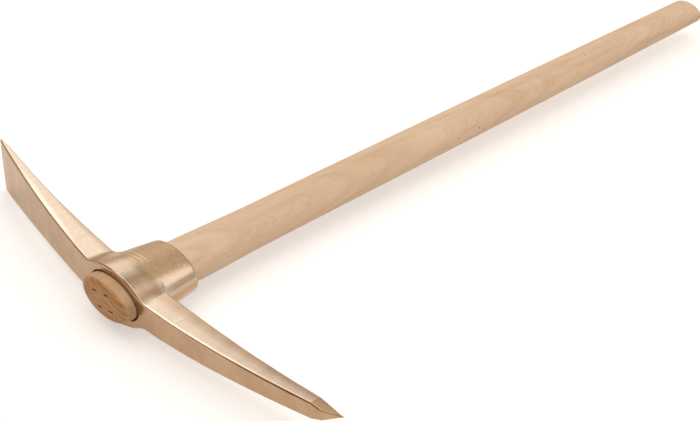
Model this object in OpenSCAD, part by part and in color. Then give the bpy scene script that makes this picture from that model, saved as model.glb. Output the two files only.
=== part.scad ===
// Pick axe: a cast bronze head that slides up over the grip of a beech handle and jams on its flared end.
// X runs along the head to the point, Y along the handle to the butt and Z up, with the tool on its side.

/* [Handle] */
// Length from the front end to the butt
handle_length = 903; // [800:1:1000]
// How far the front end stands out of the eye
stand_out = 13; // [8:0.5:16]
// Thickness of the end that stands out
end_thickness = 43.2; // [41:0.2:43.4]
// Rounding of the front end's edge
end_rounding = 5.5; // [2:0.5:6]
// Length of the neck behind the collar, where the handle eases down to the grip
neck_length = 115; // [80:5:160]
// Thickness at the end of the neck
neck_thickness = 33.2; // [30:0.2:34]
// Thickness at the butt
butt_thickness = 25.3; // [23:0.1:28]
// Height of the grip's swell above a straight taper
grip_swell = 0.45; // [0:0.05:0.5]
// Rounding of the butt's edge
butt_rounding = 4; // [2:0.5:8]

/* [Lathe marks on the front end] */
// Length of each mark
mark_length = 5.5; // [3:0.5:8]
// Width of each mark
mark_width = 1.3; // [0.8:0.1:2]
// Depth of each mark
mark_depth = 3; // [1:0.5:5]
// Distance between the two marks of a row
mark_pitch = 18.6; // [14:0.2:22]
// Distance between the two rows
mark_row_gap = 16.9; // [12:0.1:18]
// Offset of the lower row along the marks
mark_stagger = 3.6; // [0:0.2:6]
// Turn of the pattern about the handle, in degrees
mark_turn = 10; // [-15:1:15]

/* [Eye and collar] */
// Width over thickness of the eye and the handle
oval_ratio = 1.7; // [1.6:0.01:1.72]
// Thickness of the eye at its front
eye_front_thickness = 44.8; // [44.6:0.2:46]
// Thickness of the eye at the collar's rim
eye_rim_thickness = 36.8; // [36:0.1:38]
// Width of the chamfer round the eye's front
eye_chamfer = 0.8; // [0.4:0.1:1.5]
// Clearance all round between the handle's flare and the eye
fit_gap = 0.3; // [0.2:0.05:0.6]
// Length of the collar along the handle
collar_length = 75; // [65:1:85]
// Width over thickness of the collar
collar_ratio = 1.58; // [1.57:0.01:1.7]
// Thickness of the collar at its front
collar_front_thickness = 61; // [59:0.5:64]
// Thickness of the collar at its rim
collar_rim_thickness = 48; // [46:0.5:52]
// Rounding of the rim's outer edge
rim_rounding = 2; // [1:0.5:3]
// Half length of the flat front round the eye, along the head
front_flat = 34; // [28:1:40]
// Depth of both arms along the handle, where they leave the collar
root_depth = 30; // [26:1:34]
// Reach of the fillet behind each arm, out from the collar and up it
back_fillet = 7; // [4:0.5:9]
// Hollow of that fillet
back_fillet_hollow = 1.5; // [0.5:0.1:2]
// Depth of that fillet's foot below the arms' backs
back_fillet_sink = 1; // [1:0.1:2]

/* [Pick arm] */
// Reach of the point from the middle of the eye
pick_reach = 283; // [250:1:320]
// Drop of the point towards the butt
pick_drop = 42.3; // [40:0.1:48]
// Drop of the arm's front where the point's front facet starts
pick_front_drop = 28.5; // [25:0.5:31]
// Drop of the arm's back where the point's side facets start
pick_back_drop = 38.2; // [36:0.2:40]
// Width across the tool where the arm leaves the collar
pick_root_width = 29.2; // [26:0.2:34]
// Width across the tool where the point's side facets start
pick_neck_width = 18.1; // [14:0.1:22]
// Length of the point's side facets
point_length = 27; // [22:1:34]
// Length of the point's front facet
point_front_length = 16; // [10:1:20]
// Bow of the arm's front from a straight line
pick_front_bow = 6; // [3:0.5:7]
// Bow of the arm's back from a straight line
pick_back_bow = 3.9; // [1:0.1:5]
// Reach of the fillet at the side of the collar, along the arm
pick_fillet = 40; // [32:1:48]
// Hollow of that fillet
pick_fillet_hollow = 2.6; // [1:0.1:3.5]

/* [Chisel arm] */
// Reach of the cutting edge from the middle of the eye
chisel_reach = 272; // [240:1:310]
// Drop of the cutting edge towards the butt
chisel_drop = 55.6; // [52:0.1:60]
// Drop of the arm's back where the edge's bevel starts
chisel_back_drop = 54.3; // [51:0.1:56]
// Width across the tool where the arm leaves the collar
chisel_root_width = 36.6; // [32:0.2:42]
// Width of the cutting edge
edge_width = 64; // [62:0.5:76]
// Thickness left at the cutting edge
edge_thickness = 1.8; // [1:0.1:3]
// Length of the ground bevel behind the edge
bevel_length = 17; // [10:1:24]
// Bow of the arm's front from a straight line
chisel_front_bow = 3.4; // [1:0.1:4.5]
// Bow of the arm's back from a straight line
chisel_back_bow = 2.9; // [1:0.1:4]
// Hollow of the arm's flanks from a straight line
flank_hollow = 2.2; // [0:0.1:4]
// Reach of the fillet at the side of the collar, along the arm
chisel_fillet = 25; // [22:1:34]
// Hollow of that fillet
chisel_fillet_hollow = 1.8; // [0.5:0.1:2.5]

/* [Hidden] */
$fn = 96;
// Straight pieces that stand for each long curve and for each quarter round
curve_steps = 8;
// Extra length of every cut past the faces that it opens
overrun = 10;
// Share of the collar's half width where the arms, their fillets and their backs start inside it
root_share = 0.5;

eye_taper = (eye_front_thickness - eye_rim_thickness) / 2 / collar_length;
collar_taper = (collar_front_thickness - collar_rim_thickness) / 2 / collar_length;
collar_half_width = collar_ratio * collar_front_thickness / 2;
root_x = root_share * collar_half_width;
neck_x = pick_reach - point_length;
bevel_x = chisel_reach - bevel_length;
flare_y = (eye_front_thickness - end_thickness - 2 * fit_gap) / 2 / eye_taper;
butt_y = handle_length - stand_out;
neck_end_y = collar_length + neck_length;
// Ends of the two arms' backs
pick_back = [[root_x, root_depth], [neck_x, pick_back_drop]];
chisel_back = [[root_x, root_depth], [bevel_x, chisel_back_drop]];
// Middle of the whole tool along X and Y, and the drop from the eye's middle to the lowest corner
middle_x = (pick_reach - chisel_reach) / 2;
middle_y = (butt_y - stand_out) / 2;
lowest_z = max(edge_width, collar_front_thickness) / 2;

// Half thickness of the eye at a place along the handle
function eye_half(y) = eye_front_thickness / 2 - eye_taper * y;

// Half thickness of the collar at a place along the handle
function collar_half(y) = collar_front_thickness / 2 - collar_taper * y;

// Half thickness of the collar's front oval at a place along the head
function collar_top(x) = collar_front_thickness / 2 * sqrt(1 - pow(x / collar_half_width, 2));

// Point at a share s of a shallow bow between two ends, whose middle stands to the left of them by a rise
function bow_point(ends, rise, s) =
    let (run = ends[1] - ends[0])
        ends[0] + s * run + 4 * rise * s * (1 - s) * [-run[1], run[0]] / norm(run);

// Points along that bow
function bow(ends, rise) = [for (i = [0 : curve_steps]) bow_point(ends, rise, i / curve_steps)];

// Points of a quarter round about a centre, from an angle
function quarter(centre, radius, from) = [
    for (i = [0 : curve_steps])
        let (angle = from + 90 * i / curve_steps)
            centre + radius * [cos(angle), sin(angle)]
];

function reversed(points) = [for (i = [len(points) - 1 : -1 : 0]) points[i]];

// The same points on the other side of the first or the second axis
function flip_first(points) = [for (point = points) [-point[0], point[1]]];
function flip_second(points) = [for (point = points) [point[0], -point[1]]];

// Both arms seen along Z: from the point along the back to the cutting edge, then along the front
arms_side = concat(
    [[pick_reach, pick_drop]],
    reversed(bow(pick_back, -pick_back_bow)),
    flip_first(bow(chisel_back, -chisel_back_bow)),
    [[-chisel_reach, chisel_drop]],
    bow([[-chisel_reach, chisel_drop - edge_thickness], [-front_flat, 0]], -chisel_front_bow),
    bow([[front_flat, 0], [pick_reach - point_front_length, pick_front_drop]], -pick_front_bow)
);

// Upper half of both arms seen along Y, from the cutting edge to the start of the point
arms_top = concat(
    bow([[-chisel_reach, edge_width / 2], [-collar_half_width, chisel_root_width / 2]], -flank_hollow),
    [[collar_half_width, pick_root_width / 2], [neck_x, pick_neck_width / 2]]
);

// Profile of the handle: half thickness against place along Y
handle_profile = concat(
    [[0, -stand_out]],
    quarter([end_thickness / 2 - end_rounding, end_rounding - stand_out], end_rounding, -90),
    [[end_thickness / 2, flare_y]],
    neck_profile(eye_half(collar_length) - fit_gap, neck_thickness / 2),
    bow([[neck_thickness / 2, neck_end_y], [butt_thickness / 2, butt_y - butt_rounding]], -grip_swell),
    quarter([butt_thickness / 2 - butt_rounding, butt_y - butt_rounding], butt_rounding, 0),
    [[0, butt_y]]
);

// The neck eases from one half thickness to another like half a cosine wave, its last point left to the grip
function neck_profile(first, last) = [
    for (i = [0 : curve_steps - 1])
        let (s = i / curve_steps)
            [last + (first - last) * (1 + cos(180 * s)) / 2, collar_length + s * neck_length]
];

// An oval turned about Y, as an upper and a lower half, from a profile of half thickness against place
module oval_turning(ratio, profile) {
    for (half = [0, 180])
        rotate([-90, 0, 0])
            scale([ratio, 1, 1])
                rotate([0, 0, half])
                    rotate_extrude(angle = 180)
                        polygon(profile);
}

// A bar cut to an outline seen along Y
module cut_along_y(points, depth) {
    rotate([90, 0, 0])
        linear_extrude(height = depth, center = true)
            polygon(points);
}

// Moves the eye's frame so that the tool rests on its lowest corner, with its middle over the origin
module in_place() {
    translate([-middle_x, -middle_y, lowest_z])
        children();
}

// Outline of both arms seen along Y
module arms_end_cut() {
    outline = concat(arms_top, [[pick_reach, 0]], reversed(flip_second(arms_top)));
    cut_along_y(outline, 2 * (chisel_drop + overrun));
}

// The two arms as one bar through the collar, with the four-sided point and the bevelled edge
module arms() {
    intersection() {
        linear_extrude(height = edge_width + overrun, center = true)
            polygon(arms_side);
        arms_end_cut();
    }
}

// Fillet from the arms' backs up the collar, as a hollow skirt round the collar cut to the arms' width
module back_fillets() {
    start_y = root_depth - back_fillet_sink;
    skirt_ends = [
        [collar_half(start_y) + back_fillet, start_y],
        [collar_half(start_y + back_fillet), start_y + back_fillet]
    ];
    intersection() {
        oval_turning(collar_ratio, concat(
            [[0, root_depth / 2], [skirt_ends[0][0], root_depth / 2]],
            bow(skirt_ends, back_fillet_hollow),
            [[0, skirt_ends[1][1]]]
        ));
        arms_end_cut();
    }
}

// Fillets from the collar to one arm's flanks, above and below, leaning in with the collar's taper
module flank_fillets(reach, hollow, arm_half_width) {
    fillet_end = root_x + reach;
    fillet_top = bow([[root_x, collar_top(root_x)], [fillet_end, arm_half_width]], -hollow);
    for (below = [0, 1])
        mirror([0, 0, below])
            rotate([-atan(collar_taper), 0, 0])
                cut_along_y(concat(fillet_top, [[fillet_end, 0], [root_x, 0]]), 2 * (root_depth + overrun));
}

module collar() {
    oval_turning(collar_ratio, concat(
        [[0, 0], [collar_front_thickness / 2, 0]],
        quarter([collar_rim_thickness / 2 - rim_rounding, collar_length - rim_rounding], rim_rounding, 0),
        [[0, collar_length]]
    ));
}

// The tapered oval eye, with the chamfer round its front
module eye() {
    oval_turning(oval_ratio, [
        [0, -overrun],
        [eye_half(0) + eye_chamfer + overrun, -overrun],
        [eye_half(eye_chamfer), eye_chamfer],
        [eye_half(collar_length + overrun), collar_length + overrun],
        [0, collar_length + overrun]
    ]);
}

// Short cuts that a lathe's drive centre leaves in the front end
module lathe_marks() {
    for (row = [-1, 1], place = [-1, 1])
        rotate([0, -mark_turn, 0])
            translate([(place * mark_pitch - row * mark_stagger) / 2, -stand_out, row * mark_row_gap / 2])
                translate([-mark_length / 2, -overrun, -mark_width / 2])
                    cube([mark_length, mark_depth + overrun, mark_width]);
}

module pick_head() {
    color("#c8a06c")
        in_place()
            difference() {
                union() {
                    arms();
                    intersection() {
                        linear_extrude(height = collar_front_thickness, center = true)
                            polygon(arms_side);
                        union() {
                            flank_fillets(pick_fillet, pick_fillet_hollow, pick_root_width / 2);
                            mirror([1, 0, 0])
                                flank_fillets(chisel_fillet, chisel_fillet_hollow, chisel_root_width / 2);
                        }
                    }
                    back_fillets();
                    collar();
                }
                eye();
            }
}

module handle() {
    color("#d9b48f")
        in_place()
            difference() {
                oval_turning(oval_ratio, handle_profile);
                lathe_marks();
            }
}

pick_head();
handle();
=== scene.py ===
from math import cos, pi, radians, sin, sqrt

import bpy
import numpy as np
from mathutils import Matrix, Vector


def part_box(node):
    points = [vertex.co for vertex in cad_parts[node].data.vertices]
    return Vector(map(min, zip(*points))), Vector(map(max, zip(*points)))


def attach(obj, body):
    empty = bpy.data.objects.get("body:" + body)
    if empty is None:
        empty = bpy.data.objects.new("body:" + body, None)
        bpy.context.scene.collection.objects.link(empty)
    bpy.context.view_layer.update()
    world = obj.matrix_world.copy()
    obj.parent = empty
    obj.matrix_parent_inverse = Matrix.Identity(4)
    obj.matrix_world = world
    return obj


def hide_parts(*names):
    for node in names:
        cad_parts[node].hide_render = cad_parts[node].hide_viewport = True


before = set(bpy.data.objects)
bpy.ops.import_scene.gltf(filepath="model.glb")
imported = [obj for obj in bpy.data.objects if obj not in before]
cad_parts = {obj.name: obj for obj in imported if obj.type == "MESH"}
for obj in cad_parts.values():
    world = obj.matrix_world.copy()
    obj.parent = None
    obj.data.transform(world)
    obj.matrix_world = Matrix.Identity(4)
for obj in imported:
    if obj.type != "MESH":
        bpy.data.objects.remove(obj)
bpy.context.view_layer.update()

# Sizes are in millimetres from the middle of the eye's front, with X to the point, Y to the butt and Z up.
# Unless its comment says more, a pair is the range over which something comes in or ends.
MM = 0.001
head_low, head_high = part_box("pick_head")
handle_low, handle_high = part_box("handle")
eye_middle = Vector(((handle_low.x + handle_high.x) / 2, head_low.y, (handle_low.z + handle_high.z) / 2))

# Sizes that the frame gives
pick_reach = (head_high.x - eye_middle.x) / MM
chisel_reach = (eye_middle.x - head_low.x) / MM
edge_half = (head_high.z - head_low.z) / MM / 2
collar_length = (head_high.y - head_low.y) / MM
stand_out = (head_low.y - handle_low.y) / MM
butt_y = (handle_high.y - head_low.y) / MM
end_half = (handle_high.z - handle_low.z) / MM / 2
oval_ratio = (handle_high.x - handle_low.x) / (handle_high.z - handle_low.z)

# Pick arm
pick_drop = 42.3
pick_front_drop = 28.5
pick_back_drop = 38.2
pick_root_half = 14.6
pick_neck_half = 9.05
point_length = 27
point_front_length = 16
pick_front_bow = 6
pick_back_bow = 3.9
pick_fillet = 7

# Chisel arm
chisel_drop = 55.6
chisel_back_drop = 54.3
chisel_root_half = 18.3
edge_thickness = 1.8
bevel_length = 17
chisel_front_bow = 3.3
chisel_back_bow = 2.9
flank_hollow = 2.2
chisel_fillet = 9

# Eye and collar
eye_front_half = 22.4
eye_rim_half = 18.4
collar_ratio = 1.58
collar_front_half = 30.5
collar_rim_half = 24
front_flat = 34
root_x = 24
root_depth = 30

# Reach of the roundings on the casting's edges, and the share of a thin place that they may take
fine_edge = 0.6
back_edge = 1.4
rim_edge = 3
eye_edge = 1.6
front_ease = 3
thin_edge_share = 0.3
back_fillet = 6
back_fillet_depth = 12

# Chamfer along the front edges, as the width it takes off each face, and where it changes along X
chisel_cut = 1.4
pick_root_cut = 0.5
pick_point_cut = 2.3
eye_side_cut = 1.8
cut_lean = 1.7
cut_widens = (80, 230)
cut_runs_out = (262, 270)
eye_side_starts = (8, 19)
eye_side_ends = (34, 48)

# Swell of the arms that makes up for their soft edges, and how far from the eye and from their ends it starts
edge_swell = 0.45
swell_from_eye = (40, 70)
swell_from_end = (2, 20)

# Crown of the flanks behind the ground strip, which comes in with the arms' depth
flank_crown = 2.6
crown_start_share = 0.4
crown_depths = (8, 20)

# Least depth of an arm that a share of its depth is taken of
least_depth = 1

# Waves that grinding by hand leaves, as their height and the travel along X, Y and Z for one radian
wave_height = 0.05
long_wave = (13, 29)
long_wave_start = 0.6
cross_wave = (7.3, 11, 19)
short_wave = (4.1, 23, 9)
short_wave_start = 2.1

# Net that the head's surface is drawn on, and how its points settle on the surface
net_step = 0.7
net_step_along_arms = 1.4
slope_step = 0.02
least_slope_squared = 0.1
settling_rounds = 4
relaxing_rounds = 3

# Ground flanks: where they start along X, how far they face up, and what the strip along their backs loses
pick_flank = (37, 49)
chisel_flank = (36, 46)
flank_facing = (0.9, 0.98)
pick_strip_start = 0.3
pick_strip_width = 0.6
chisel_strip_start = 0.68
chisel_strip_shift = 0.32
chisel_strip_moves = (80, 240)
chisel_strip_width = 0.25
strip_loss = 0.65
pick_fade = 0.12
pick_fades = (50, 200)

# Ground collar: its limits along X, behind the front edge and facing up
collar_starts = (-25, -11)
collar_ends = (40, 54)
collar_edge = (0, 2)
collar_facing = (0.05, 0.4)

# Ground front of the collar: a crescent that ends along X, then a stripe that grows along Y
front_share = 0.65
front_ends = (16, 32)
crescent_loss = 0.7
crescent_ends = (8, 20)
stripe_starts = (21, 28)
stripe_ends = (33, 39)
stripe_share = 0.45
stripe_gain = 0.3
stripe_gains = (10, 20)

# Ground side of the collar behind the pick, which is ground less near its middle height
side_share = 0.72
side_starts_x = (25, 33)
side_starts_y = (22, 33)
side_middle_share = 0.68
side_rise = 0.32
side_rises = (8, 13)

# Ground spot in the corner behind the pick
spot_x = 47
spot_y = 36
spot_z = 13
spot_radius = 7

# Painted highlight along the flanks' front edges, a light strip that stands in for the lamps' reflection in
# their rounding; it is wider along the middle of the chisel
highlight_facing = (0.75, 0.95)
highlight_from_eye = (44, 54)
highlight_full_width = 1
highlight_width = 3.4
highlight_width_gain = 3.6
highlight_widens = (60, 120)
highlight_narrows = (170, 240)
pick_highlight = 0.9
pick_highlight_loss = 0.7
pick_highlight_fades = (90, 240)
chisel_highlight = 0.15
chisel_highlight_gain = 0.6

# Painted highlight on the end of the collar's ground crescent
crescent_highlight = 0.35
crescent_highlight_starts = (3, 9)
crescent_highlight_ends = (13, 20)
crescent_highlight_back = (14, 26)

# Scored top of the collar
score_starts_x = (-40, -28)
score_ends_x = (4, 14)
score_starts_y = (26, 30)
score_ends_y = (37, 43)

# Part of the collar that is left as cast
cast_starts_x = (-40, -30)
cast_ends_x = (23, 34)
cast_starts_y = (22, 34)

neck_x = pick_reach - point_length
bevel_x = chisel_reach - bevel_length
front_facet_x = pick_reach - point_front_length
collar_half_width = collar_ratio * collar_front_half


def soft_max(a, b, reach):
    """Larger of two distances, eased over a reach, which rounds the edge between their surfaces."""
    share = np.clip(1 - np.abs(a - b) / reach, 0, None)
    return np.maximum(a, b) + reach / 4 * share ** 2


def soft_min(a, b, reach):
    """Smaller of two distances, eased over a reach, which fillets the corner between their surfaces."""
    return -soft_max(-a, -b, reach)


def ease(value, low, high):
    """Share from 0 to 1 of the way between two values, smooth at both ends."""
    share = np.clip((value - low) / (high - low), 0, 1)
    return share * share * (3 - 2 * share)


def bowed(x, first, last, rise):
    """Height at x of a shallow bow between two ends."""
    share = (x - first[0]) / (last[0] - first[0])
    return first[1] + share * (last[1] - first[1]) + 4 * rise * share * (1 - share)


def front_line(x):
    """Front of the arms, seen along Z."""
    pick = bowed(x, (front_flat, 0), (front_facet_x, pick_front_drop), -pick_front_bow)
    facet = bowed(x, (front_facet_x, pick_front_drop), (pick_reach, pick_drop), 0)
    chisel = bowed(-x, (front_flat, 0), (chisel_reach, chisel_drop - edge_thickness), -chisel_front_bow)
    pick_side = np.maximum(np.where(x > front_flat, pick, 0), facet)
    return np.where(x > 0, pick_side, soft_max(0, chisel, front_ease))


def back_line(x):
    """Back of the arms, seen along Z."""
    pick = bowed(x, (root_x, root_depth), (neck_x, pick_back_drop), -pick_back_bow)
    point = bowed(x, (neck_x, pick_back_drop), (pick_reach, pick_drop), 0)
    chisel = bowed(-x, (root_x, root_depth), (bevel_x, chisel_back_drop), -chisel_back_bow)
    bevel = bowed(-x, (bevel_x, chisel_back_drop), (chisel_reach, chisel_drop), 0)
    return np.where(x > 0, np.where(x > neck_x, point, pick), np.where(-x > bevel_x, bevel, chisel))


def half_width(x):
    """Half width of the arms, seen along Y."""
    chisel = bowed(-x, (collar_half_width, chisel_root_half), (chisel_reach, edge_half), -flank_hollow)
    inside = bowed(x, (-collar_half_width, chisel_root_half), (collar_half_width, pick_root_half), 0)
    pick = bowed(x, (collar_half_width, pick_root_half), (neck_x, pick_neck_half), 0)
    point = bowed(x, (neck_x, pick_neck_half), (pick_reach, 0), 0)
    width = np.where(x < -collar_half_width, chisel, np.where(x < collar_half_width, inside, pick))
    return np.minimum(width, point)


def swell(x):
    """How far the arms stand past their outlines, up to just short of their ends."""
    end = np.where(x > 0, pick_reach, chisel_reach)
    return edge_swell * ease(np.abs(x), *swell_from_eye) * ease(end - np.abs(x), *swell_from_end)


def front_cut(x):
    """Width of the chamfer along the front edges, which is widest beside the eye and near the point."""
    pick = pick_root_cut + (pick_point_cut - pick_root_cut) * ease(x, *cut_widens)
    beside_eye = eye_side_cut * ease(x, *eye_side_starts) * (1 - ease(x, *eye_side_ends))
    return np.where(x > 0, (pick + beside_eye) * (1 - ease(x, *cut_runs_out)), chisel_cut)


def chamfered(side, front, cut, reach):
    """Larger of two distances, with a flat cut along their edge that takes more off the front."""
    sloped = (side + cut_lean * front + cut) / sqrt(1 + cut_lean ** 2)
    return soft_max(soft_max(side, front, reach), sloped, reach)


def oval(x, z, ratio, half):
    """Distance outside an oval that is wider than thick by a ratio."""
    radius = np.hypot(x / ratio, z)
    steepness = np.hypot(x / ratio ** 2, z) / np.maximum(radius, MM)
    return (radius - half) / np.maximum(steepness, 1 / ratio)


def waves(x, y, z):
    """Shallow unevenness of a casting that was ground by hand."""
    long = np.sin(x / long_wave[0] + y / long_wave[1] + long_wave_start)
    cross = np.sin(x / cross_wave[0] - y / cross_wave[1] + z / cross_wave[2])
    short = np.sin(x / short_wave[0] + y / short_wave[1] - z / short_wave[2] + short_wave_start)
    return wave_height * (long + cross + short / 2)


def head_field(x, y, z):
    """Distance outside the casting, negative inside it."""
    front = front_line(x) - swell(x)
    back = back_line(x) + swell(x)
    half = half_width(x) + swell(x)
    depth_share = (y - front) / np.maximum(back - front, least_depth)
    past_start = np.clip(depth_share - crown_start_share, 0, 1)
    crown = flank_crown * past_start ** 2 * ease(back - front, *crown_depths)
    thin_edge = thin_edge_share * np.maximum(np.minimum(2 * half, back - front), MM)
    arms = soft_max(np.abs(z) - half + crown, y - back, np.minimum(back_edge, thin_edge))
    taper_share = y / collar_length
    collar_half = collar_front_half + (collar_rim_half - collar_front_half) * taper_share
    collar = soft_max(oval(x, z, collar_ratio, collar_half), y - collar_length, rim_edge)
    flank_fillet = np.where(x > 0, pick_fillet, chisel_fillet)
    fillet = back_fillet + (flank_fillet - back_fillet) * ease(back - y, 0, back_fillet_depth)
    body = soft_min(arms, collar, fillet) + waves(x, y, z)
    cut = np.minimum(front_cut(x), thin_edge / 2)
    body = chamfered(body, front - y, cut, np.minimum(fine_edge, thin_edge))
    body = soft_max(body, -chisel_reach - x, thin_edge)
    eye_half = eye_front_half + (eye_rim_half - eye_front_half) * taper_share
    return soft_max(body, -oval(x, z, oval_ratio, eye_half), eye_edge)


def net_cells(axes):
    """Middles of the cells of a net that the head's surface passes through, and the quads that join them."""
    grid_x, grid_y, grid_z = np.meshgrid(*axes, indexing="ij", sparse=True)
    inside = head_field(grid_x, grid_y, grid_z) < 0
    corners = sum(
        inside[i:inside.shape[0] - 1 + i, j:inside.shape[1] - 1 + j, k:inside.shape[2] - 1 + k].astype(int)
        for i in (0, 1) for j in (0, 1) for k in (0, 1)
    )
    mixed = (corners > 0) & (corners < 8)
    number = np.full(mixed.shape, -1)
    number[mixed] = np.arange(mixed.sum())
    middles = [(axis[1:] + axis[:-1]) / 2 for axis in axes]
    points = np.stack([middle[place] for middle, place in zip(middles, np.nonzero(mixed))], axis=1)
    quads = []
    for axis in range(3):
        order = (axis, (axis + 1) % 3, (axis + 2) % 3)
        turned = np.transpose(inside, order)
        cell = np.transpose(number, order)
        starts_inside = turned[:-1, 1:-1, 1:-1]
        i, j, k = np.nonzero(starts_inside != turned[1:, 1:-1, 1:-1])
        ring = np.stack([cell[i, j, k], cell[i, j + 1, k], cell[i, j + 1, k + 1], cell[i, j, k + 1]], axis=1)
        quads.append(np.where(starts_inside[i, j, k][:, None], ring, ring[:, ::-1]))
    return points, np.concatenate(quads)


def field_slope(points):
    """Slope of the head's field at each point."""
    slopes = []
    for axis in range(3):
        shift = np.zeros(3)
        shift[axis] = slope_step
        rise = head_field(*(points + shift).T) - head_field(*(points - shift).T)
        slopes.append(rise / (2 * slope_step))
    return np.stack(slopes, axis=1)


def settled(points):
    """The points, moved along the field's slope on to the surface."""
    for _ in range(settling_rounds):
        slope = field_slope(points)
        slope_squared = np.maximum((slope ** 2).sum(axis=1), least_slope_squared)
        points = points - (head_field(*points.T) / slope_squared)[:, None] * slope
    return points


def neighbour_mean(values, edges):
    """Mean of each point's neighbours, for values with one row a point."""
    first, second = edges.T
    count = np.bincount(first, minlength=len(values))
    sums = [np.bincount(first, weights=column[second], minlength=len(values)) for column in values.T]
    return np.stack(sums, axis=1) / count[:, None]


def new_object(name, points, faces):
    """A smooth mesh object from points in millimetres in the eye's frame."""
    mesh = bpy.data.meshes.new(name)
    mesh.from_pydata((np.asarray(points) * MM + np.array(eye_middle)).tolist(), [], faces)
    mesh.shade_smooth()
    made = bpy.data.objects.new(name, mesh)
    bpy.context.scene.collection.objects.link(made)
    return made


def flank_ground(x, y, facing):
    """How far the arms' flanks were ground, up to a strip along their backs."""
    depth_share = (y - front_line(x)) / np.maximum(back_line(x) - front_line(x), least_depth)
    chisel_start = chisel_strip_start + chisel_strip_shift * ease(-x, *chisel_strip_moves)
    strip_start = np.where(x > 0, pick_strip_start, chisel_start)
    strip_width = np.where(x > 0, pick_strip_width, chisel_strip_width)
    on_arms = np.maximum(ease(x, *pick_flank), ease(-x, *chisel_flank))
    share = ease(facing, *flank_facing) * on_arms * (x < neck_x)
    share = share * (1 - strip_loss * ease(depth_share, strip_start, strip_start + strip_width))
    return share * (1 - pick_fade * ease(x, *pick_fades))


def collar_ground(x, y, z, facing):
    """How far the collar was ground: a crescent and a stripe on its front, and its side behind the pick."""
    stripe = ease(x, *stripe_starts) * (1 - ease(x, *stripe_ends))
    stripe = stripe * (stripe_share + stripe_gain * ease(y, *stripe_gains))
    front = front_share * (1 - ease(y, *front_ends)) * (1 - crescent_loss * ease(x, *crescent_ends) + stripe)
    side = side_share * ease(x, *side_starts_x) * ease(y, *side_starts_y)
    side = side * (side_middle_share + side_rise * ease(np.abs(z), *side_rises))
    share = np.maximum(front, side) * (1 - ease(x, *collar_ends))
    share = share * ease(x, *collar_starts)
    return share * ease(y, *collar_edge) * ease(facing, *collar_facing)


def ground_share(points, normals):
    """How far each point was ground: the arms' flanks, the collar, and a spot behind the pick."""
    x, y, z = points.T
    facing = np.abs(normals[:, 2])
    from_spot = (x - spot_x) ** 2 + (y - spot_y) ** 2 + (np.abs(z) - spot_z) ** 2
    spot = np.exp(-from_spot / spot_radius ** 2)
    return np.clip(flank_ground(x, y, facing) + collar_ground(x, y, z, facing) + spot, 0, 1)


def painted_highlight_share(points, normals):
    """How far each point is lightened by painted highlights: a strip along the flanks' front edges, and the
    crescent's end.
    """
    x, y = points.T[:2]
    facing = np.abs(normals[:, 2])
    from_edge = y - front_line(x) + swell(x) - front_cut(x)
    spread_out = ease(-x, *highlight_widens) * (1 - ease(-x, *highlight_narrows))
    strip = 1 - ease(from_edge, highlight_full_width + spread_out, highlight_width + highlight_width_gain * spread_out)
    on_pick = pick_highlight - pick_highlight_loss * ease(x, *pick_highlight_fades)
    along = np.where(x > 0, on_pick, chisel_highlight + chisel_highlight_gain * spread_out)
    strip = ease(facing, *highlight_facing) * strip * along * ease(np.abs(x), *highlight_from_eye) * (x < neck_x)
    # Painted highlight at the end of the collar's crescent
    crescent = crescent_highlight * ease(x, *crescent_highlight_starts) * (1 - ease(x, *crescent_highlight_ends))
    crescent = crescent * ease(y, *collar_edge) * (1 - ease(y, *crescent_highlight_back))
    return strip + crescent * ease(facing, *collar_facing)


def scratched_share(points):
    """How far each point of the collar's top was scored across by the grinding wheel."""
    x, y, z = points.T
    across = ease(y, *score_starts_y) * (1 - ease(y, *score_ends_y))
    along = ease(x, *score_starts_x) * (1 - ease(x, *score_ends_x))
    return across * along * (z > 0)


def cast_share(points):
    """How rough each point was left by the mould: the collar behind its ground front."""
    x, y = points.T[:2]
    return ease(y, *cast_starts_y) * ease(x, *cast_starts_x) * (1 - ease(x, *cast_ends_x))


def mark(piece, name, values):
    """Stores one number a point for the piece's material."""
    made = piece.data.attributes.new(name, "FLOAT", "POINT")
    made.data.foreach_set("value", values.astype(np.float32))


def make_head():
    """The casting, as a net of quads on its field's surface, with ground and rough places and painted
    highlights marked.
    """
    margin = 2 * net_step
    along = np.concatenate([
        np.arange(-chisel_reach - margin, -bevel_x, net_step),
        np.arange(-bevel_x, -collar_half_width, net_step_along_arms),
        np.arange(-collar_half_width, collar_half_width, net_step),
        np.arange(collar_half_width, neck_x - margin, net_step_along_arms),
        np.arange(neck_x - margin, pick_reach + margin, net_step),
    ])
    across = np.arange(-margin, collar_length + margin, net_step)
    up = np.arange(-edge_half - margin, edge_half + margin, net_step)
    points, quads = net_cells([along, across, up])
    edges = np.concatenate([quads[:, [i, (i + 1) % 4]] for i in range(4)])
    points = settled(points)
    for _ in range(relaxing_rounds):
        points = settled((points + neighbour_mean(points, edges)) / 2)
    slope = field_slope(points)
    normals = slope / np.linalg.norm(slope, axis=1, keepdims=True)
    made = new_object("pick_head_casting", points, quads.tolist())
    mark(made, "ground", ground_share(points, normals))
    # Painted highlights: lighter bronze along the flanks' front edges and at the end of the collar's crescent
    mark(made, "painted_highlight", painted_highlight_share(points, normals))
    mark(made, "scratched", scratched_share(points))
    mark(made, "as_cast", cast_share(points))
    return made


# Handle
end_rounding = 5.5
neck_length = 115
neck_half = 16.6
butt_half = 12.65
grip_swell = 0.45
butt_rounding = 4
fit_gap = 0.3

# Rings of the handle's mesh along each stretch, and its sides
end_rings = 12
round_rings = 12
flare_rings = 12
neck_rings = 24
grip_rings = 90
butt_rings = 8
handle_sides = 128

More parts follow.
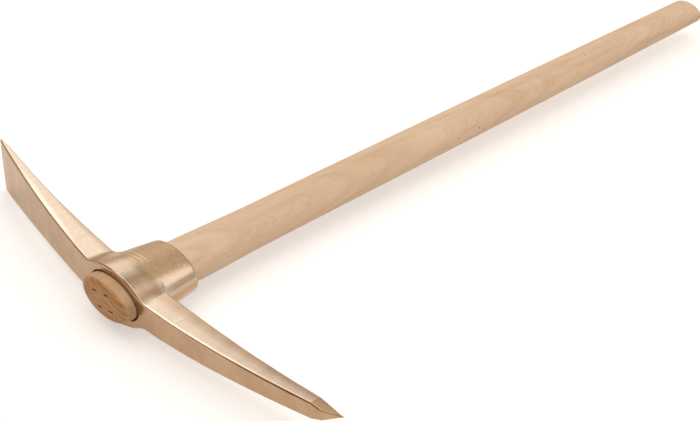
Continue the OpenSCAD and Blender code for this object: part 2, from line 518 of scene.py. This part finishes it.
# Lathe marks on the front end, and the cutter's outer and inner widths as shares of a mark's
mark_length = 7
mark_width = 1.7
outer_share = 2
inner_share = 0.3
mark_depth = 3
mark_pitch = 18.6
mark_row_gap = 16.9
mark_stagger = 3.6
mark_turn = radians(10)
wedge_corners = ((-1, -1), (1, -1), (1, 1), (-1, 1))
wedge_faces = ((0, 1, 2, 3), (7, 6, 5, 4), (0, 4, 5, 1), (1, 5, 6, 2), (2, 6, 7, 3), (3, 7, 4, 0))

# Pin knots on the side that shows
pin_knots = ((4, 685.1, 13.9), (25.5, 450.3, 3.9), (25.1, 484.1, 4.1))


def quarter_round(middle, radius, start, steps):
    """Points of a quarter round about a middle, from an angle."""
    angles = start + np.linspace(0, pi / 2, steps)
    return [(middle[0] + radius * cos(a), middle[1] + radius * sin(a)) for a in angles]


def handle_profile():
    """Half thickness of the handle against the place along it, from the middle of one end to the other's."""
    neck_start = eye_rim_half - fit_gap
    flare = (eye_front_half - eye_rim_half) / collar_length
    flare_y = (eye_front_half - fit_gap - end_half) / flare
    grip_y = collar_length + neck_length
    last_y = butt_y - butt_rounding
    flat_end = end_half - end_rounding
    flat_butt = butt_half - butt_rounding
    profile = [(share * flat_end, -stand_out) for share in np.linspace(0, 1, end_rings)[:-1]]
    profile += quarter_round((flat_end, end_rounding - stand_out), end_rounding, -pi / 2, round_rings)
    profile.append((end_half, flare_y))
    for share in np.linspace(0, 1, flare_rings)[1:-1]:
        half = end_half + (neck_start - end_half) * share
        profile.append((half, flare_y + (collar_length - flare_y) * share))
    for share in np.linspace(0, 1, neck_rings)[:-1]:
        half = neck_half + (neck_start - neck_half) * (1 + cos(pi * share)) / 2
        profile.append((half, collar_length + neck_length * share))
    for y in np.linspace(grip_y, last_y, grip_rings)[:-1]:
        profile.append((bowed(y, (grip_y, neck_half), (last_y, butt_half), grip_swell), y))
    profile += quarter_round((flat_butt, last_y), butt_rounding, 0, round_rings)
    profile += [(share * flat_butt, butt_y) for share in np.linspace(1, 0, butt_rings)[1:]]
    return profile


def lofted(name, profile, sides):
    """A closed oval turning about Y, whose profile starts and ends on the axis."""
    angles = np.arange(sides) * 2 * pi / sides
    points = [(0, profile[0][1], 0)]
    for half, y in profile[1:-1]:
        points += [(oval_ratio * half * cos(a), y, half * sin(a)) for a in angles]
    points.append((0, profile[-1][1], 0))
    last = len(points) - 1
    faces = []
    for i in range(sides):
        j = (i + 1) % sides
        faces.append((0, 1 + i, 1 + j))
        for ring in range(len(profile) - 3):
            start = 1 + ring * sides
            faces.append((start + i, start + sides + i, start + sides + j, start + j))
        faces.append((last, last - sides + j, last - sides + i))
    return new_object(name, points, faces)


def mark_cutter():
    """Four wedges that a lathe's drive centre would press into the front end."""
    turn_cos, turn_sin = cos(mark_turn), sin(mark_turn)
    points, faces = [], []
    for row in (-1, 1):
        for place in (-1, 1):
            middle_x = (place * mark_pitch - row * mark_stagger) / 2
            middle_z = row * mark_row_gap / 2
            first = len(points)
            for y, share in ((-stand_out - mark_depth, outer_share), (-stand_out + mark_depth, inner_share)):
                for side_x, side_z in wedge_corners:
                    x = middle_x + side_x * mark_length / 2
                    z = middle_z + side_z * share * mark_width / 2
                    points.append((x * turn_cos - z * turn_sin, y, x * turn_sin + z * turn_cos))
            faces += [tuple(first + i for i in face) for face in wedge_faces]
    return new_object("mark_cutter", points, faces)


def make_handle():
    """The haft, with the lathe marks cut into its front end."""
    made = lofted("beech_handle", handle_profile(), handle_sides)
    cutter = mark_cutter()
    cut = made.modifiers.new("lathe_marks", "BOOLEAN")
    cut.operation = "DIFFERENCE"
    cut.solver = "EXACT"
    cut.object = cutter
    graph = bpy.context.evaluated_depsgraph_get()
    made.data = bpy.data.meshes.new_from_object(made.evaluated_get(graph))
    made.modifiers.clear()
    bpy.data.objects.remove(cutter)
    return made


def add(tree, kind, inputs=None, **settings):
    """A new shader node, with its inputs linked to sockets or set to values."""
    made = tree.nodes.new(kind)
    for name, value in settings.items():
        setattr(made, name, value)
    for name, value in (inputs or {}).items():
        if isinstance(value, bpy.types.NodeSocket):
            tree.links.new(value, made.inputs[name])
        else:
            made.inputs[name].default_value = value
    return made


def noise(tree, place, scale, detail, roughness):
    """Noise from 0 to 1, whose scale along each axis is in waves a metre."""
    mapped = add(tree, "ShaderNodeMapping", {"Vector": place, "Scale": scale})
    made = add(tree, "ShaderNodeTexNoise", {
        "Vector": mapped.outputs[0], "Scale": 1, "Detail": detail, "Roughness": roughness})
    return made.outputs["Fac"]


def calc(tree, operation, a, b=0.0, c=0.0, clamp=False):
    """One arithmetic step on numbers or sockets."""
    return add(tree, "ShaderNodeMath", {0: a, 1: b, 2: c}, operation=operation, use_clamp=clamp).outputs[0]


def spread(tree, value, low, high, to_low=0.0, to_high=1.0):
    """A value eased from one range to another, and held at the ends."""
    return add(tree, "ShaderNodeMapRange", {
        "Value": value, "From Min": low, "From Max": high, "To Min": to_low, "To Max": to_high,
    }, interpolation_type="SMOOTHSTEP").outputs[0]


# Sockets of the mixing node, by number, since those for numbers and for colours have the same names
mix_share = 0
first_number, second_number, mixed_number = 2, 3, 0
first_colour, second_colour, mixed_colour = 6, 7, 2


def blend(tree, share, a, b, how="MIX"):
    """Two colours mixed by a share."""
    sockets = {mix_share: share, first_colour: a, second_colour: b}
    return add(tree, "ShaderNodeMix", sockets, data_type="RGBA", blend_type=how).outputs[mixed_colour]


def layer_on(tree, colour, value, limits, share, layer_colour):
    """A colour with another laid over it, which comes in between two limits of a value, up to a share."""
    return blend(tree, spread(tree, value, *limits, 0, share), colour, layer_colour)


def new_material(name):
    """A material with its node tree and its main shader."""
    made = bpy.data.materials.new(name)
    made.use_nodes = True
    return made, made.node_tree, made.node_tree.nodes["Principled BSDF"]


def paint(*colour):
    """A colour with its alpha."""
    return (*colour, 1)


# Range that most of a noise lies in
noise_middle = (0.3, 0.7)

# Bronze where it was neither ground nor left as cast, with layers as their limits, largest share and colour.
# The painted shade on the chisel's end has its limits along the part's own X.
bronze_dark = paint(0.435, 0.275, 0.16)
bronze_light = paint(0.5, 0.34, 0.215)
bronze_patches = ((0.4, 0.75), 0.3, paint(0.415, 0.255, 0.14))
painted_shade_chisel_end = ((-190 * MM, -270 * MM), 0.8, paint(0.39, 0.25, 0.142))

# Bronze where it was ground, left as cast and scored, and the colour of the painted highlights
ground_dark = paint(0.65, 0.53, 0.415)
ground_light = paint(0.69, 0.58, 0.475)
skin_dark = paint(0.43, 0.285, 0.165)
skin_light = paint(0.56, 0.4, 0.26)
skin_tones = (0.35, 0.65)
skin_specks = ((0.65, 0.7), 1, paint(0.86, 0.72, 0.5))
# Colour of the painted highlights
painted_highlight_colour = paint(0.9, 0.83, 0.73)
score_colour = paint(0.8, 0.68, 0.5)
score_lines = (0.56, 0.64)

# Bronze at a grazing view, its roughness, and the weights and height of its bumps
grazing_tint = paint(0.97, 0.94, 0.9)
plain_roughness = (0.2, 0.27)
cast_roughness = (0.3, 0.44)
plain_lines = 0.18
cast_grain = 4.2
plain_grain = 0.06
groove_weight = 4
bronze_bump = 0.25
bronze_bump_height = 0.0002


def make_bronze():
    """Satin bronze: ground on the flanks and the collar, rough as cast behind, with painted highlights and a
    painted shade.
    """
    made, tree, shader = new_material("satin_bronze")
    place = add(tree, "ShaderNodeTexCoord").outputs["Object"]
    along = add(tree, "ShaderNodeSeparateXYZ", {0: place}).outputs["X"]
    ground, painted_highlight, scratched, as_cast = (
        add(tree, "ShaderNodeAttribute", attribute_name=name).outputs["Fac"]
        for name in ("ground", "painted_highlight", "scratched", "as_cast")
    )
    cloud = noise(tree, place, (24, 30, 24), detail=4, roughness=0.6)
    patch = noise(tree, place, (75, 60, 75), detail=3, roughness=0.55)
    strokes = noise(tree, place, (700, 40, 400), detail=2, roughness=0.6)
    fine_strokes = noise(tree, place, (2200, 120, 1400), detail=2, roughness=0.6)
    scores = noise(tree, place, (45, 750, 45), detail=2, roughness=0.6)
    pits = noise(tree, place, (800, 800, 800), detail=3, roughness=0.6)
    lumps = noise(tree, place, (330, 330, 330), detail=2, roughness=0.5)
    specks = noise(tree, place, (260, 260, 260), detail=2, roughness=0.6)

    plain = blend(tree, spread(tree, cloud, *noise_middle), bronze_dark, bronze_light)
    plain = layer_on(tree, plain, patch, *bronze_patches)
    # Painted shade: the chisel's end is darkened
    plain = layer_on(tree, plain, along, *painted_shade_chisel_end)
    bright = blend(tree, spread(tree, strokes, *noise_middle), ground_dark, ground_light)
    skin = blend(tree, spread(tree, pits, *skin_tones), skin_dark, skin_light)
    skin = layer_on(tree, skin, specks, *skin_specks)
    scored = calc(tree, "MULTIPLY", scratched, spread(tree, scores, *score_lines))
    colour = plain
    # The painted highlights are laid over the ground bronze
    for share, layer in ((as_cast, skin), (ground, bright), (painted_highlight, painted_highlight_colour), (scored, score_colour)):
        colour = blend(tree, share, colour, layer)
    tree.links.new(colour, shader.inputs["Base Color"])

    even = spread(tree, patch, *noise_middle, *plain_roughness)
    rough = spread(tree, pits, *noise_middle, *cast_roughness)
    sockets = {mix_share: as_cast, first_number: even, second_number: rough}
    roughness = add(tree, "ShaderNodeMix", sockets).outputs[mixed_number]
    tree.links.new(roughness, shader.inputs["Roughness"])

    line_weight = calc(tree, "ADD", ground, plain_lines)
    lines = calc(tree, "MULTIPLY", calc(tree, "ADD", strokes, fine_strokes), line_weight)
    grain_weight = calc(tree, "MULTIPLY_ADD", as_cast, cast_grain, plain_grain)
    grain = calc(tree, "MULTIPLY", calc(tree, "ADD", pits, lumps), grain_weight)
    grooves = calc(tree, "MULTIPLY", calc(tree, "MULTIPLY", scores, scratched), groove_weight)
    height = calc(tree, "ADD", calc(tree, "ADD", lines, grain), grooves)
    bump = add(tree, "ShaderNodeBump", {
        "Strength": bronze_bump, "Distance": bronze_bump_height, "Height": height})
    tree.links.new(bump.outputs[0], shader.inputs["Normal"])
    shader.inputs["Metallic"].default_value = 1
    shader.inputs["Specular Tint"].default_value = grazing_tint
    return made


# Growth rings: their middle beside the handle and how far they stray, in metres, then their lean and number
pith_x = 0.035
pith_z = 0.135
bend_reach = 0.026
waver_reach = 0.004
ring_lean = -0.11
rings_a_metre = 850

# Dark late wood, as shares of a ring's width, and how much of it a patch shows
late_starts = (0.25, 0.8)
late_ends = (1, 0.84)
late_patches = (0.4, 0.66)
late_weights = (0.05, 1)
late_share = 0.2
late_colour = paint(0.55, 0.35, 0.2)

# Wood along the handle, with layers as their limits, largest share and colour.
# The painted light near the collar has its limits along the handle, and the knots' are distances from their
# middles.
wood_light = paint(0.83, 0.635, 0.46)
wood_dark = paint(0.75, 0.545, 0.37)
# Painted light: the handle is made lighter towards the collar
painted_light_stretch = ((340 * MM, 120 * MM), 0.35, paint(0.87, 0.69, 0.52))
ring_bands = ((0.4, 0.75), 0.5, paint(0.6, 0.4, 0.245))
dark_streaks = ((0.45, 0.75), 0.4, paint(0.58, 0.38, 0.23))
dark_fibres = ((0.5, 0.8), 0.25, paint(0.58, 0.375, 0.22))
dark_flecks = ((0.62, 0.7), 0.35, paint(0.46, 0.28, 0.15))
knot_spots = ((1.6 * MM, 0.5 * MM), 0.7, paint(0.28, 0.15, 0.075))

# Wood at the ends, with painted shade in the lathe marks and in the mouth of the eye
end_facing = (0.25, 1)
end_light = paint(0.78, 0.48, 0.23)
end_dark = paint(0.45, 0.235, 0.092)
end_tones = (0.4, 0.66)
front_end_tint = paint(0.845, 0.74, 0.59)
# Painted shade in the lathe marks, and how far in from the flat face's rim and how deep it reaches
mark_shade_colour = paint(0.1, 0.05, 0.022)
mark_shade_rim = 0.5
mark_shade_depth = 0.8
painted_eye_shade = paint(0.27, 0.145, 0.065)
eye_shade_starts = (-0.4 * MM, 0.6 * MM)
eye_shade_ends = (8 * MM, 3 * MM)

# Roughness, gloss and bumps of the wood
wood_roughness = (0.46, 0.6)
wood_gloss = 0.4
fleck_bump = 0.6
wood_bump = 0.2
wood_bump_height = 0.0003


def make_beech():
    """Bare beech: growth rings, fibres and short dark flecks along the handle, with browner end grain,
    painted light near the collar, and painted shade in the lathe marks and the eye's mouth.
    """
    made, tree, shader = new_material("bare_beech")
    coordinates = add(tree, "ShaderNodeTexCoord")
    place = add(tree, "ShaderNodeMapping", {
        "Vector": coordinates.outputs["Object"], "Location": tuple(-c for c in eye_middle)}).outputs[0]
    place_x, place_y, place_z = add(tree, "ShaderNodeSeparateXYZ", {0: place}).outputs
    facing = add(tree, "ShaderNodeSeparateXYZ", {0: coordinates.outputs["Normal"]})
    end_grain = spread(tree, calc(tree, "ABSOLUTE", facing.outputs["Y"]), *end_facing)

    bend = noise(tree, place, (9, 3.2, 9), detail=2, roughness=0.5)
    waver = noise(tree, place, (50, 14, 50), detail=3, roughness=0.6)
    patches = noise(tree, place, (70, 22, 70), detail=2, roughness=0.5)
    from_pith_x = calc(tree, "ADD", place_x, pith_x)
    from_pith_z = calc(tree, "ADD", place_z, pith_z)
    squared = calc(tree, "ADD", calc(tree, "POWER", from_pith_x, 2), calc(tree, "POWER", from_pith_z, 2))
    bent = calc(tree, "MULTIPLY", bend, bend_reach)
    strayed = calc(tree, "ADD", bent, calc(tree, "MULTIPLY", waver, waver_reach))
    lean = calc(tree, "MULTIPLY", place_y, ring_lean)
    ring_radius = calc(tree, "ADD", calc(tree, "ADD", calc(tree, "SQRT", squared), lean), strayed)
    ring = calc(tree, "FRACT", calc(tree, "MULTIPLY", ring_radius, rings_a_metre))
    ring_place = add(tree, "ShaderNodeCombineXYZ", {"X": ring_radius}).outputs[0]
    ring_tone = noise(tree, ring_place, (170, 1, 1), detail=3, roughness=0.6)
    late_wood = calc(tree, "MULTIPLY", spread(tree, ring, *late_starts), spread(tree, ring, *late_ends))
    late_wood = calc(tree, "MULTIPLY", late_wood, spread(tree, patches, *late_patches, *late_weights))

    tone = noise(tree, place, (26, 5, 26), detail=3, roughness=0.5)
    streaks = noise(tree, place, (95, 6, 95), detail=3, roughness=0.6)
    fibres = noise(tree, place, (1100, 14, 1100), detail=3, roughness=0.6)
    flecks = noise(tree, place, (900, 110, 900), detail=2, roughness=0.5)

    colour = blend(tree, spread(tree, tone, *noise_middle), wood_light, wood_dark)
    # The first layer is the painted light towards the collar
    for value, layer in ((place_y, painted_light_stretch), (ring_tone, ring_bands), (streaks, dark_streaks)):
        colour = layer_on(tree, colour, value, *layer)
    colour = blend(tree, calc(tree, "MULTIPLY", late_wood, late_share), colour, late_colour)
    for value, layer in ((fibres, dark_fibres), (flecks, dark_flecks)):
        colour = layer_on(tree, colour, value, *layer)
    for knot in pin_knots:
        centre = tuple(c * MM for c in knot)
        away = add(tree, "ShaderNodeVectorMath", {0: place, 1: centre}, operation="DISTANCE")
        colour = layer_on(tree, colour, away.outputs["Value"], *knot_spots)

    end_place = add(tree, "ShaderNodeMapping", {"Vector": place, "Rotation": (0, -mark_turn, 0)})
    end_streaks = noise(tree, end_place.outputs[0], (28, 60, 380), detail=4, roughness=0.6)
    end_colour = blend(tree, spread(tree, end_streaks, *end_tones), end_light, end_dark)
    colour = blend(tree, end_grain, colour, end_colour)
    at_front = spread(tree, place_y, 0, -stand_out * MM / 2)
    colour = blend(tree, at_front, colour, front_end_tint, how="MULTIPLY")

    # Painted shade in the lathe marks, on the front end's flat face just below its surface
    across = calc(tree, "POWER", calc(tree, "DIVIDE", place_x, oval_ratio), 2)
    from_axis = calc(tree, "SQRT", calc(tree, "ADD", across, calc(tree, "POWER", place_z, 2)))
    flat_end = end_half - end_rounding
    inside = spread(tree, from_axis, flat_end * MM, (flat_end - mark_shade_rim) * MM)
    sunk = spread(tree, place_y, -stand_out * MM, (mark_shade_depth - stand_out) * MM)
    near_front = spread(tree, place_y, collar_length * MM, 0)
    in_mark_shade = calc(tree, "MULTIPLY", calc(tree, "MULTIPLY", inside, sunk), near_front)
    colour = blend(tree, in_mark_shade, colour, mark_shade_colour)
    # Painted shade of the gap between the handle and the eye's mouth
    past_front = spread(tree, place_y, *eye_shade_starts)
    in_eye_shade = calc(tree, "MULTIPLY", past_front, spread(tree, place_y, *eye_shade_ends))
    colour = blend(tree, in_eye_shade, colour, painted_eye_shade)
    tree.links.new(colour, shader.inputs["Base Color"])

    roughness = spread(tree, fibres, *noise_middle, *wood_roughness)
    tree.links.new(roughness, shader.inputs["Roughness"])
    height = calc(tree, "ADD", fibres, calc(tree, "MULTIPLY", flecks, fleck_bump))
    bump = add(tree, "ShaderNodeBump", {
        "Strength": wood_bump, "Distance": wood_bump_height, "Height": height})
    tree.links.new(bump.outputs[0], shader.inputs["Normal"])
    shader.inputs["Specular IOR Level"].default_value = wood_gloss
    return made


def dress(piece, material, body, node):
    """Gives a piece its material and ties it to the frame."""
    piece.data.materials.clear()
    piece.data.materials.append(material)
    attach(piece, body)
    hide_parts(node)


dress(make_head(), make_bronze(), "head", "pick_head")
dress(make_handle(), make_beech(), "handle", "handle")


# Floor, in metres
floor_size = 16
floor_drop = 0.0005
floor_colour = paint(0.8, 0.8, 0.8)
floor_glow = 0.44
glow_colour = paint(1, 1, 1)

# Surroundings, which turn from pale to dark towards the front
surroundings_pale = paint(0.72, 0.65, 0.565)
surroundings_dark = paint(0.3, 0.205, 0.135)
turn_to_dark = (-0.15, 0.5)

# Lamps, in metres: name, place, what they face, width, height and radiance
lamps = (
    ("overhead", (-0.3, -0.8, 2.2), (-0.3, -0.8, 0), 3, 3, 0.85),
    ("back_left", (-1.64, 0.89, 1.19), (-0.16, 1.86, 0.25), 1.7, 1.05, 0.75),
    ("back_right", (0.67, 0.65, 1.14), (0, 0, 0), 0.85, 0.85, 0.8),
)

# Camera, in metres and pixels, fitted to the tool's outlines in the photograph
image_width = 700
focal_pixels = 1741.9
camera_place = (1.138, -1.1939, 1.0331)
camera_azimuth = radians(46.99)
camera_elevation = radians(33.69)
camera_roll = radians(0.32)


def make_floor():
    """A white floor that keeps the tool's shadow, a little brighter to the camera and in reflections."""
    mesh = bpy.data.meshes.new("floor")
    half = floor_size / 2
    corners = [(-half, -half, 0), (half, -half, 0), (half, half, 0), (-half, half, 0)]
    mesh.from_pydata(corners, [], [(0, 1, 2, 3)])
    made = bpy.data.objects.new("floor", mesh)
    made.location.z = -floor_drop
    bpy.context.scene.collection.objects.link(made)
    material, tree, shader = new_material("white_floor")
    rays = add(tree, "ShaderNodeLightPath").outputs
    seen = calc(tree, "ADD", calc(tree, "ADD", rays["Is Camera Ray"], rays["Is Glossy Ray"]),
                rays["Is Transmission Ray"], clamp=True)
    shader.inputs["Base Color"].default_value = floor_colour
    shader.inputs["Roughness"].default_value = 1
    shader.inputs["Specular IOR Level"].default_value = 0
    shader.inputs["Emission Color"].default_value = glow_colour
    tree.links.new(calc(tree, "MULTIPLY", seen, floor_glow), shader.inputs["Emission Strength"])
    mesh.materials.append(material)


def make_studio():
    """Surroundings that are pale behind the tool and dark and warm in front of its head."""
    world = bpy.data.worlds.new("studio")
    world.use_nodes = True
    tree = world.node_tree
    towards = add(tree, "ShaderNodeTexCoord").outputs["Generated"]
    frontward = add(tree, "ShaderNodeVectorMath", {0: towards, 1: (0, -1, 0)}, operation="DOT_PRODUCT")
    share = spread(tree, frontward.outputs["Value"], *turn_to_dark)
    colour = blend(tree, share, surroundings_pale, surroundings_dark)
    tree.links.new(colour, tree.nodes["Background"].inputs["Color"])
    bpy.context.scene.world = world


def add_softbox(name, place, aim, width, height, radiance):
    """A soft light at a place, turned to face another."""
    lamp = bpy.data.lights.new(name, "AREA")
    lamp.shape = "RECTANGLE"
    lamp.size = width
    lamp.size_y = height
    lamp.energy = radiance * pi * width * height
    made = bpy.data.objects.new(name, lamp)
    made.location = place
    made.rotation_euler = (Vector(place) - Vector(aim)).to_track_quat("Z", "Y").to_euler()
    bpy.context.scene.collection.objects.link(made)


def add_camera():
    """The photograph's camera."""
    camera = bpy.data.cameras.new("camera")
    camera.lens = camera.sensor_width * focal_pixels / image_width
    made = bpy.data.objects.new("camera", camera)
    turn = Matrix.Rotation(camera_azimuth, 4, "Z") @ Matrix.Rotation(pi / 2 - camera_elevation, 4, "X")
    made.matrix_world = Matrix.Translation(camera_place) @ turn @ Matrix.Rotation(camera_roll, 4, "Z")
    bpy.context.scene.collection.objects.link(made)
    bpy.context.scene.camera = made


make_floor()
for lamp in lamps:
    add_softbox(*lamp)
add_camera()

make_studio()
bpy.context.scene.view_settings.view_transform = "Standard"
